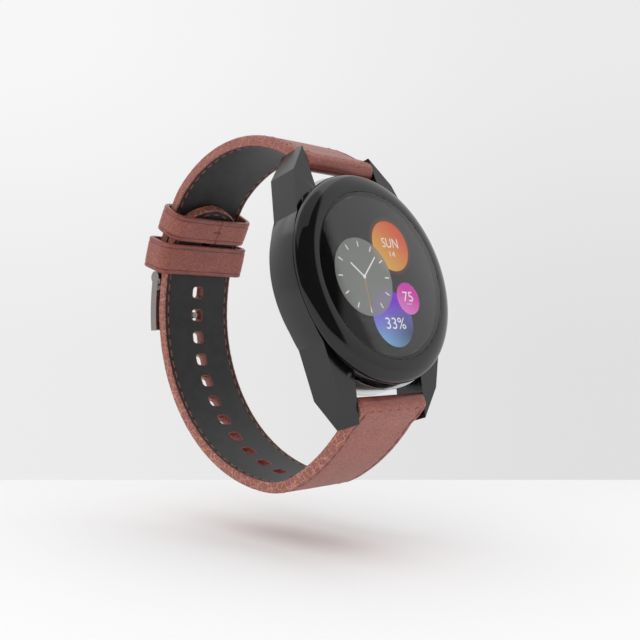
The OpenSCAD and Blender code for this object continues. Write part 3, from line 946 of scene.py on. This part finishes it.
def keeper(name, angle, length, in_w, corner, bow, materials, seam=None):
    """Leather loop with a turned lip at both edges; seam is where its butt joint shows."""
    put = on_arc(BENDS[-1] + STRAP_T + LAYER_GAP / 2, angle)
    edge, lip = 0.3, 1.05
    half = length / 2
    flat = half - edge
    profile = [(v, 0.0) for v in spread(-half + 0.15, half - 0.15, 6)]
    for a in spread(-90, 90, 7):
        rise = KEEPER_T / 2 + (KEEPER_T / 2 - 0.02) * sin(radians(a))
        profile.append((flat + edge * cos(radians(a)), rise))
    for v in spread(flat, -flat, 46):
        dip = 0.17 * exp(-(((abs(v) - (half - lip)) / 0.11) ** 2))
        plump = 0.05 * (1 - (v / half) ** 2)
        profile.append((v, KEEPER_T - dip + plump))
    for a in spread(90, 270, 7):
        rise = KEEPER_T / 2 + (KEEPER_T / 2 - 0.02) * sin(radians(a))
        profile.append((-flat + edge * cos(radians(a)), rise))
    base = rounded(in_w, KEEPER_H, corner, 12)
    dense = []
    for i, (x0, n0) in enumerate(base):
        x1, n1 = base[(i + 1) % len(base)]
        steps = max(1, ceil(((x1 - x0) ** 2 + (n1 - n0) ** 2) ** 0.5 / 0.3))
        dense += [(x0 + (x1 - x0) * k / steps, n0 + (n1 - n0) * k / steps) for k in range(steps)]
    rings = []
    count = len(dense)
    for i, (x, n) in enumerate(dense):
        bx, bn = dense[i - 1]
        ax, an = dense[(i + 1) % count]
        out = Vector((an - bn, bx - ax)).normalized()
        swell = bow * max(0.0, 1 - (2 * x / in_w) ** 2) * (1 if n > 0 else -1)
        notch = 0.0
        if seam is not None and n < 0:
            notch = 0.3 * exp(-(((x - seam) / 0.13) ** 2))
        ring = []
        for v, level in profile:
            if level > KEEPER_T / 2:
                level -= notch
                level += 0.012 * noise.noise(Vector((x * 0.8, n, v * 0.8)))
            ring.append(put(x + out.x * level, n + out.y * level + swell, v))
        rings.append(ring)
    verts, faces = grid(rings, closed_rows=True)
    m = len(profile)
    centre = [abs(v) < half - lip - 0.1 and level > KEEPER_T / 2 for v, level in profile]
    indices = []
    for _ in range(count):
        indices += [0 if centre[j] and centre[(j + 1) % m] else 1 for j in range(m)]
    return new_object(name, verts, faces, materials, indices, angle=60)


def seam_stitch(name, x, material):
    """Short bar tack across the butt joint of the free keeper."""
    put = on_arc(BENDS[-1] + STRAP_T + LAYER_GAP / 2, FREE_A)
    up = (put(0, -1, 0) - put(0, 0, 0)).normalized()
    level = -KEEPER_H / 2 - KEEPER_T - 0.24

    def curve(u, rise):
        return put(x - TACK_L / 2 + TACK_L * u, level + 0.2 * (1 - rise), 0.0), up

    return join(name, [stitch(curve, 0.2)], [material], angle=70)


# ---- watch face ----

FACE = {
    "clock": ((-5.05, -0.5), 8.0),
    "day": ((4.86, 6.41), 5.35),
    "pulse": ((6.89, -4.66), 3.38),
    "charge": ((0.91, -8.94), 5.81),
}
GLASS_BACK = GLASS_T + 0.004
LAYER = 0.005
GLASS_MIRROR = 0.075


def lit(*values):
    """Emission that shows as the given display colour once the glass adds its reflection."""
    return tuple(max(v - GLASS_MIRROR, 0.0) / 0.92 for v in srgb(*values))


def thin(name, outline, level, material):
    """Flat shape of the screen as a very thin closed solid, in X and Z."""
    y0 = GLASS_BACK + (9 - level) * LAYER
    rings = [[Vector((x, y, z)) * MM for x, z in outline] for y in (y0, y0 + LAYER * 0.6)]
    verts, faces = grid(rings)
    return new_object(name, verts, faces, [material], angle=20)


def disc_outline(centre, radius, steps=160):
    return [
        (centre[0] + radius * cos(2 * pi * i / steps), centre[1] + radius * sin(2 * pi * i / steps))
        for i in range(steps)
    ]


def bar_outline(start, clock_angle, first, last, width):
    """Round-ended bar from one distance to another along a clock direction."""
    way = Vector((sin(radians(clock_angle)), cos(radians(clock_angle))))
    side = Vector((way.y, -way.x))
    centre = Vector(start)
    points = []
    for end, a0 in ((last, 0), (first, 180)):
        for a in spread(a0 + 90, a0 - 90, 9):
            offset = cos(radians(a)) * way + sin(radians(a)) * -side
            points.append(tuple(centre + end * way + width / 2 * offset))
    return points


def words(name, text, centre, height, width, level, material):
    """Number or day on the screen, as a thin flat mesh."""
    data = bpy.data.curves.new(name, "FONT")
    data.body = text
    data.align_x = "CENTER"
    data.align_y = "CENTER"
    data.size = 1.0
    data.extrude = 0.5
    data.resolution_u = 6
    text_obj = bpy.data.objects.new(name, data)
    bpy.context.scene.collection.objects.link(text_obj)
    ready = text_obj.evaluated_get(bpy.context.evaluated_depsgraph_get())
    mesh = bpy.data.meshes.new_from_object(ready)
    bpy.data.objects.remove(text_obj)
    low = [min(v.co[i] for v in mesh.vertices) for i in range(3)]
    high = [max(v.co[i] for v in mesh.vertices) for i in range(3)]
    y0 = GLASS_BACK + (9 - level) * LAYER
    for v in mesh.vertices:
        x = ((v.co.x - low[0]) / (high[0] - low[0]) - 0.5) * width
        z = ((v.co.y - low[1]) / (high[1] - low[1]) - 0.5) * height
        deep = 0.0 if v.co.z > 0 else LAYER * 0.6
        v.co = Vector((centre[0] + x, y0 + deep, centre[1] + z)) * MM
    welded = bmesh.new()
    welded.from_mesh(mesh)
    bmesh.ops.remove_doubles(welded, verts=welded.verts, dist=1e-9)
    bmesh.ops.recalc_face_normals(welded, faces=welded.faces)
    welded.to_mesh(mesh)
    welded.free()
    mesh.materials.clear()
    mesh.materials.append(material)
    obj = bpy.data.objects.new(name, mesh)
    bpy.context.scene.collection.objects.link(obj)
    return obj


def near_circle(look, centre, radius, soft):
    """1 inside a circle of the screen and 0 outside, with a soft edge."""
    away = look.node("ShaderNodeVectorMath", operation="DISTANCE")
    flat = look.stretched(1, 0, 1)
    look.link(flat, away.inputs[0])
    away.inputs[1].default_value = (centre[0], 0, centre[1])
    return look.remap(away.outputs["Value"], radius - soft, radius + soft, 1.0, 0.0)


def watch_face():
    """Everything the screen shows, in layers just behind the glass."""
    clock, clock_r = FACE["clock"]
    day, day_r = FACE["day"]
    pulse, pulse_r = FACE["pulse"]
    charge, charge_r = FACE["charge"]
    made = []

    halo = glow("screen_halo", (0, 0, 0), (0, 0, 0), 0, 1, (1, 0))
    ring = near_circle(halo, day, day_r + 0.35, 0.75)
    halo.link(
        halo.mix(ring, (0.0, 0.0, 0.0), lit(112, 88, 70)), halo.bsdf.inputs["Emission Color"]
    )
    made.append(thin("screen_halo", disc_outline(day, day_r + 1.1), 1, halo.mat))

    reach = day[0] * 0.7 + day[1] * 0.7
    look = glow("screen_day", lit(205, 165, 98), lit(200, 98, 66), reach - 5, reach + 4, (0.7, 0.7))
    made.append(thin("screen_day", disc_outline(day, day_r), 2, look.mat))

    look = glow(
        "screen_charge", lit(125, 165, 198), lit(126, 66, 196), charge[1] - 5, charge[1] + 3.5, (0, 1)
    )
    upper = look.bsdf.inputs["Emission Color"].links[0].from_socket
    corner = Vector((charge[0] + 4.6, charge[1] - 3.2))
    shade = near_circle(look, corner, 3.2, 4.6)
    look.link(look.mix(shade, upper, lit(78, 70, 100)), look.bsdf.inputs["Emission Color"])
    made.append(thin("screen_charge", disc_outline(charge, charge_r), 2, look.mat))

    reach = pulse[0] * 0.5 + pulse[1] * 0.86
    look = glow(
        "screen_pulse", lit(205, 128, 188), lit(194, 64, 164), reach - 3.2, reach + 1.5, (0.5, 0.86)
    )
    made.append(thin("screen_pulse", disc_outline(pulse, pulse_r), 3, look.mat))

    look = glow("screen_clock", lit(132, 134, 132), lit(126, 128, 126), -6, 6, (0, 1))
    plain = look.bsdf.inputs["Emission Color"].links[0].from_socket
    veil = look.calc("MULTIPLY", near_circle(look, day, day_r, 1.4), 0.55)
    tinted = look.mix(veil, plain, lit(176, 150, 122))
    veil = look.calc("MULTIPLY", near_circle(look, charge, charge_r, 0.5), 0.6)
    look.link(look.mix(veil, tinted, lit(142, 130, 158)), look.bsdf.inputs["Emission Color"])
    made.append(thin("screen_clock", disc_outline(clock, clock_r), 4, look.mat))

    white = glow("screen_white", lit(222, 222, 220), lit(214, 214, 212), -12, 12, (0, 1)).mat
    amber = glow("screen_amber", lit(212, 140, 66), lit(200, 150, 92), -8, 0, (0, 1)).mat
    for i in range(12):
        outline = bar_outline(clock, i * 30, 6.2, 7.2, 0.26)
        made.append(thin(f"screen_mark_{i + 1}", outline, 5, white))
    made.append(thin("screen_second", bar_outline(clock, 180, 0.0, 6.6, 0.13), 6, amber))
    made.append(thin("screen_hour", bar_outline(clock, 310.6, 0.0, 4.0, 0.36), 7, white))
    made.append(thin("screen_minute", bar_outline(clock, 45.5, 0.0, 5.9, 0.3), 8, white))
    made.append(thin("screen_pin", disc_outline(clock, 0.42, 40), 9, white))
    shown = (
        ("screen_day_name", "SUN", (day[0], day[1] + 0.65), 2.05, 4.9),
        ("screen_day_number", "14", (day[0] + 0.1, day[1] - 1.7), 1.15, 1.6),
        ("screen_pulse_number", "75", (pulse[0], pulse[1] + 0.4), 2.05, 3.0),
        ("screen_charge_number", "33%", (charge[0] + 0.45, charge[1] - 0.95), 2.35, 5.9),
    )
    for name, text, centre, height, width in shown:
        made.append(words(name, text, centre, height, width, 5, white))
    for i in (-1, 0, 1):
        dot = disc_outline((pulse[0] + 0.1 + i * 0.55, pulse[1] - 1.15), 0.13, 24)
        made.append(thin(f"screen_pulse_dot_{i + 2}", dot, 5, white))
    for piece in made:
        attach(piece, "head")


# ---- watch head ----


def bezel(material):
    """Domed ring that runs from the flat screen round to the case."""
    slope = [
        (SCREEN_R + SLOPE_R * sin(radians(a)), SLOPE_R * (1 - cos(radians(a))))
        for a in spread(0, EDGE_A, 20)
    ]
    centre = (BEZEL_R - EDGE_R, SLOPE_R - (SLOPE_R - EDGE_R) * cos(radians(EDGE_A)))
    edge = [
        (centre[0] + EDGE_R * sin(radians(a)), centre[1] - EDGE_R * cos(radians(a)))
        for a in spread(EDGE_A, 90, 18)[1:]
    ]
    back = [
        (BEZEL_R - 0.02, BEZEL_H - 0.05),
        (BEZEL_R - 0.08, BEZEL_H),
        (CAVITY_R - GLASS_FIT, BEZEL_H),
        (CAVITY_R - GLASS_FIT, SPIGOT_Y),
        (CAVITY_R - 1, SPIGOT_Y),
        (CAVITY_R - 1, BEZEL_H),
        (LEDGE_R, BEZEL_H),
        (LEDGE_R, GLASS_T + GLASS_FIT),
        (SCREEN_R, GLASS_T + GLASS_FIT),
    ]
    obj = turned("bezel", slope + edge + back, [material])
    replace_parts(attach(obj, "head"), "bezel_ring")


def glass(clear, ink):
    """Cover glass with a fine ground edge, its side blacked out."""
    r = SCREEN_R - GLASS_FIT
    outline = [
        (0.001, 0.0),
        (r - 0.03, 0.0),
        (r - 0.01, 0.01),
        (r, 0.03),
        (r, GLASS_T - 0.03),
        (r - 0.03, GLASS_T),
        (r - 0.9, GLASS_T),
        (0.001, GLASS_T),
    ]
    obj = turned("cover_lens", outline, [clear, ink])
    mesh = obj.data
    for face in mesh.polygons:
        reach = sqrt(face.center.x**2 + face.center.z**2) / MM
        face.material_index = 1 if reach > r - 0.6 and face.center.y > 0.02 * MM else 0
    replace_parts(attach(obj, "head"), "cover_glass")


def soften(node, width, angle=28, segments=2):
    """Small machined edges on a CAD piece, with its shape as packed."""
    weld = node.modifiers.new("weld", "WELD")
    weld.merge_threshold = 1e-6
    bevel = node.modifiers.new("edges", "BEVEL")
    bevel.width = width * MM
    bevel.segments = segments
    bevel.limit_method = "ANGLE"
    bevel.angle_limit = radians(angle)
    bevel.use_clamp_overlap = True
    bevel.harden_normals = False


def dress(nodes, looks):
    """Gives every CAD piece its material."""
    for name, material in looks.items():
        mesh = nodes[name].data
        mesh.materials.clear()
        mesh.materials.append(material)


# ---- stage, lamps and camera ----

CAMERA_AT = Vector((-0.1415, -0.1134, -0.0441))
CAMERA_BACK = Vector((-0.71384, -0.67019, -0.20316)).normalized()
CAMERA_UP = Vector((-0.01005, -0.28027, 0.95987))
LENS = 52.61
SENSOR = 36.0
FLOOR_DROP = 0.047
WALL_AWAY = 0.275
ROOM_LIGHT = 0.8
MIRROR_FADE = (0.36, 0.44, 0.86, 0.1)
MIRROR_LIFT = 0.6


def stage_axes():
    """Right, up and forward of the level room the watch hangs in."""
    right = CAMERA_UP.cross(CAMERA_BACK).normalized()
    up = CAMERA_BACK.cross(right).normalized()
    return right, up, -CAMERA_BACK


def make_camera():
    right, up, forward = stage_axes()
    data = bpy.data.cameras.new("camera")
    data.lens = LENS
    data.sensor_width = SENSOR
    data.clip_start = 0.005
    camera = bpy.data.objects.new("camera", data)
    turn = Matrix((right, up, -forward)).transposed().to_4x4()
    camera.matrix_world = Matrix.Translation(CAMERA_AT) @ turn
    bpy.context.scene.collection.objects.link(camera)
    bpy.context.scene.camera = camera


def one_sided(name, tone, shaded_far_tone, axis, low, high):
    """Matt paper whose colour fades along an axis into a darker far tone as painted shade, and lets a
    view from behind it through.
    """
    look = Look(name, tone, 0.9, Specular_IOR_Level=0.0)
    along = look.node("ShaderNodeVectorMath", operation="DOT_PRODUCT")
    look.link(look.space, along.inputs[0])
    along.inputs[1].default_value = axis
    look.paint(look.mix(look.remap(along.outputs["Value"], low, high), tone, shaded_far_tone))
    clear = look.node("ShaderNodeBsdfTransparent")
    side = look.node("ShaderNodeNewGeometry")
    both = look.node("ShaderNodeMixShader")
    look.link(side.outputs["Backfacing"], both.inputs[0])
    look.link(look.bsdf.outputs[0], both.inputs[1])
    look.link(clear.outputs[0], both.inputs[2])
    look.link(both.outputs[0], look.tree.nodes["Material Output"].inputs["Surface"])
    return look.mat


def panel(name, corners, material):
    mesh = bpy.data.meshes.new(name)
    mesh.from_pydata(corners, [], [(0, 1, 2, 3)])
    mesh.materials.append(material)
    obj = bpy.data.objects.new(name, mesh)
    bpy.context.scene.collection.objects.link(obj)


def make_stage():
    right, up, forward = stage_axes()
    foot = CAMERA_AT - FLOOR_DROP * up
    wide = 1.6
    far = foot + WALL_AWAY * forward
    near = foot - wide * forward
    edge = far.dot(forward) / MM
    # The floor's colour darkens from 0.98 to 0.9 over its last 110 mm: painted shade towards the far
    # edge, where floor meets backdrop.
    floor = one_sided("stage_floor", (0.98,) * 3, (0.9,) * 3, forward, edge - 110, edge)
    panel(
        "floor",
        [near - wide * right, near + wide * right, far + wide * right, far - wide * right],
        floor,
    )


def lamp(name, place, size, power, target):
    data = bpy.data.lights.new(name, "AREA")
    data.shape = "RECTANGLE"
    data.size, data.size_y = size
    data.energy = power
    obj = bpy.data.objects.new(name, data)
    obj.location = place
    obj.rotation_mode = "QUATERNION"
    obj.rotation_quaternion = (target - place).to_track_quat("-Z", "Y")
    bpy.context.scene.collection.objects.link(obj)


def fade_along(tree, vector, direction, low, high, to_low, to_high):
    """Value that eases from one to another as a vector turns to a direction."""
    along = tree.nodes.new("ShaderNodeVectorMath")
    along.operation = "DOT_PRODUCT"
    along.inputs[1].default_value = direction
    tree.links.new(vector, along.inputs[0])
    fade = tree.nodes.new("ShaderNodeMapRange")
    fade.interpolation_type = "SMOOTHSTEP"
    fade.inputs["From Min"].default_value = low
    fade.inputs["From Max"].default_value = high
    fade.inputs["To Min"].default_value = to_low
    fade.inputs["To Max"].default_value = to_high
    tree.links.new(along.outputs["Value"], fade.inputs["Value"])
    return fade.outputs["Result"]


def make_light():
    """Soft room light, the pale backdrop the camera sees with painted shading, darker to the right and
    lighter upward, and the dark side glossy faces mirror.
    """
    right, up, forward = stage_axes()
    middle = Vector((0, 0.025, 0))
    lamp("key", middle - 0.08 * right + 0.5 * up + 0.03 * forward, (0.85, 0.85), 1.25, middle)

    world = bpy.data.worlds.new("studio")
    world.use_nodes = True
    bpy.context.scene.world = world
    tree = world.node_tree
    nodes = tree.nodes
    nodes.clear()
    way = nodes.new("ShaderNodeTexCoord").outputs["Generated"]
    seen = nodes.new("ShaderNodeLightPath")

    def background(strength):
        made = nodes.new("ShaderNodeBackground")
        if isinstance(strength, bpy.types.NodeSocket):
            tree.links.new(strength, made.inputs["Strength"])
        else:
            made.inputs["Strength"].default_value = strength
        made.inputs["Color"].default_value = (1, 1, 1, 1)
        return made.outputs[0]

    def choose(share, first, second):
        made = nodes.new("ShaderNodeMixShader")
        tree.links.new(share, made.inputs[0])
        tree.links.new(first, made.inputs[1])
        tree.links.new(second, made.inputs[2])
        return made.outputs[0]

    # Painted shading on the backdrop the camera sees: it darkens towards the right and lightens towards
    # the top, as light falls on a wall.
    across = fade_along(tree, way, right, -0.33, 0.3, 0.88, 0.78)
    rise = fade_along(tree, way, up, -0.06, 0.3, 0.95, 1.06)
    wall = nodes.new("ShaderNodeMath")
    wall.operation = "MULTIPLY"
    tree.links.new(across, wall.inputs[0])
    tree.links.new(rise, wall.inputs[1])
    dark = (MIRROR_LIFT * up - forward).normalized()
    mirror = fade_along(tree, way, dark, *MIRROR_FADE)
    shown = choose(seen.outputs["Is Glossy Ray"], background(ROOM_LIGHT), background(mirror))
    shown = choose(seen.outputs["Is Camera Ray"], shown, background(wall.outputs[0]))
    out = nodes.new("ShaderNodeOutputWorld")
    tree.links.new(shown, out.inputs["Surface"])


# ---- assembly ----

LOW_STRAP = LongStrap(LOW, 0.8, LOW.length - 0.4)
TOP_STRAP = ShortStrap(TOP, 0.15, TOP.length - 3.9)


def strap_pieces():
    grain, smooth = leather_grain(), leather_smooth()
    low_leathers = [grain, leather_edge("leather_edge_long", 0.8, 0.5), smooth]
    top_leathers = [grain, leather_edge("leather_edge_short", 0.35, 0.55), smooth]
    lining = lining_look()
    outer = thread_look("thread_outer", srgb(92, 34, 30), srgb(124, 52, 44))
    inner = thread_look("thread_inner", srgb(116, 56, 48), srgb(158, 84, 72))
    low_bore = rod(TUBE_R + 0.1, -STRAP_W, STRAP_W, BAR_Y, -BAR_Z)
    top_bore = rod(TUBE_R + 0.1, -STRAP_W, STRAP_W, BAR_Y, BAR_Z)
    pivot = OVER_C + PIVOT_R * Vector((cos(radians(PIVOT_A)), sin(radians(PIVOT_A))))
    buckle_bore = rod(BAR_R + 0.05, -STRAP_W, STRAP_W, pivot.x, pivot.y)
    slot_shape = rounded(TONGUE_SLOT, 8.0, 0.5)
    tongue_slot = prism(TOP, slot_shape, TOP.length + 4 - 1.85, -3, STRAP_T + 3)

    low_leather = LOW_STRAP.leather(
        "lower_strap_leather", low_leathers, [hole_cuts(0.5), [low_bore], [lever_cut(-1)]]
    )
    low_lining = LOW_STRAP.lining("lower_strap_lining", lining, hole_cuts(0.5))
    low_ends = low_plan()
    low_threads = outer_threads(
        "lower_strap_threads", LOW_STRAP, low_ends + cross_plan(LOW_STRAP.cross), outer
    )
    low_inside = inner_threads("lower_strap_inner_threads", LOW_STRAP, low_ends, inner)
    rims = hole_rims(smooth)

    top_leather = TOP_STRAP.leather(
        "upper_strap_leather", top_leathers, [[top_bore, buckle_bore], [lever_cut(1), tongue_slot]]
    )
    top_lining = TOP_STRAP.lining("upper_strap_lining", lining, [])
    top_ends = top_plan()
    crossed = cross_plan(TOP_STRAP.cross) + cross_plan(TOP.length - 4.2)
    top_threads = outer_threads("upper_strap_threads", TOP_STRAP, top_ends + crossed, outer)
    top_inside = inner_threads("upper_strap_inner_threads", TOP_STRAP, top_ends, inner)

    fixed = keeper(
        "fixed_keeper_band", FIXED_A, FIXED_L, FIXED_W, 1.2, 0.05, [grain, smooth]
    )
    free = keeper(
        "free_keeper_band", FREE_A, FREE_L, FREE_W, 1.9, 0.25, [grain, smooth], seam=SEAM_X
    )
    tack = seam_stitch("free_keeper_tack", SEAM_X - 0.2, outer)

    rides = (
        (low_leather, "lower_strap", "strap_leather", "lower_leather"),
        (low_lining, "lower_strap", "strap_lining", "lower_lining"),
        (low_threads, "lower_strap", "thread", "lower_stitching"),
        (low_inside, "lower_strap", "thread", None),
        (rims, "lower_strap", "strap_leather", None),
        (top_leather, "upper_strap", "strap_leather", "upper_leather"),
        (top_lining, "upper_strap", "strap_lining", "upper_lining"),
        (top_threads, "upper_strap", "thread", "upper_stitching"),
        (top_inside, "upper_strap", "thread", None),
        (fixed, "upper_strap", "strap_leather", "fixed_keeper"),
        (free, "keeper", "strap_leather", "free_keeper"),
        (tack, "keeper", "thread", None),
    )
    for piece, body, slot, node in rides:
        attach(piece, body)
        if node:
            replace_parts(piece, node)


def head_pieces(nodes):
    case = coated_metal("case_black", srgb(15, 15, 16), 0.16)
    steel = satin_metal("steel_satin", srgb(176, 176, 178), 0.3)
    polished = satin_metal("steel_polished", srgb(200, 200, 200), 0.14)
    buckle = satin_metal("buckle_satin", srgb(152, 144, 142), 0.34)
    board = circuit_board()
    panel_black = moulded("panel_black", srgb(10, 10, 11), 0.6, 1.5, 0.0, 0.0)
    rubber = moulded("rubber_black", srgb(26, 26, 26), 0.7)
    module = moulded("module_black", srgb(34, 34, 35), 0.45)
    looks = {
        "mid_case": case,
        "side_button": coated_metal("button_black", srgb(20, 20, 21), 0.2),
        "display_panel": panel_black,
        "display_frame": steel,
        "board_shields": steel,
        "motor_can": steel,
        "back_screws": steel,
        "motor_weight": satin_metal("tungsten_grey", srgb(132, 128, 120), 0.35),
        "main_board": board,
        "sensor_board": board,
        "display_flex": moulded("ribbon_amber", srgb(168, 104, 36), 0.35),
        "battery": moulded("cell_foil", srgb(120, 122, 126), 0.3, 1.2),
        "speaker": module,
        "microphone": moulded("microphone_gold", srgb(170, 146, 92), 0.35),
        "button_switch": module,
        "bezel_gasket": rubber,
        "back_seal": rubber,
        "button_seal": rubber,
        "back_shell": polished,
        "sensor_window": clear_glass("sensor_glass", srgb(70, 70, 74), 0.03),
        "sensor_lamps": moulded("lamp_green", srgb(96, 196, 116), 0.2),
        "charging_coil": wound_copper(),
        "buckle_frame": buckle,
        "buckle_bar": buckle,
        "buckle_tongue": buckle,
    }
    for place in ("upper", "lower"):
        for part in ("bar_tube", "bar_spring", "pin_left", "pin_right"):
            looks[f"{place}_{part}"] = steel
    dress(nodes, looks)
    soften(nodes["mid_case"], 0.16)
    soften(nodes["side_button"], 0.25)
    soften(nodes["back_shell"], 0.12)
    soften(nodes["buckle_frame"], 0.3)
    soften(nodes["buckle_tongue"], 0.2)
    bezel(gloss_black())
    ink = moulded("crystal_ink", srgb(6, 6, 6), 0.4, 8.0, 0.001)
    glass(clear_glass("crystal_clear", (1, 1, 1), 0.01), ink)
    watch_face()


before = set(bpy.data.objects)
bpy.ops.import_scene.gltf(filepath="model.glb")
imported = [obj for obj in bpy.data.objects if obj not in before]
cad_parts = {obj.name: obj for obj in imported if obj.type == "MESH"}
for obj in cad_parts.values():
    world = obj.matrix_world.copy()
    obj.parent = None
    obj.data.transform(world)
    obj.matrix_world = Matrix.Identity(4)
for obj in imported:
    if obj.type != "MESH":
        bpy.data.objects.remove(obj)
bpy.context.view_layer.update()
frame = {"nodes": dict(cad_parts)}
bpy.context.scene.view_settings.view_transform = "Standard"
make_camera()
make_stage()
make_light()
strap_pieces()
head_pieces(frame["nodes"])
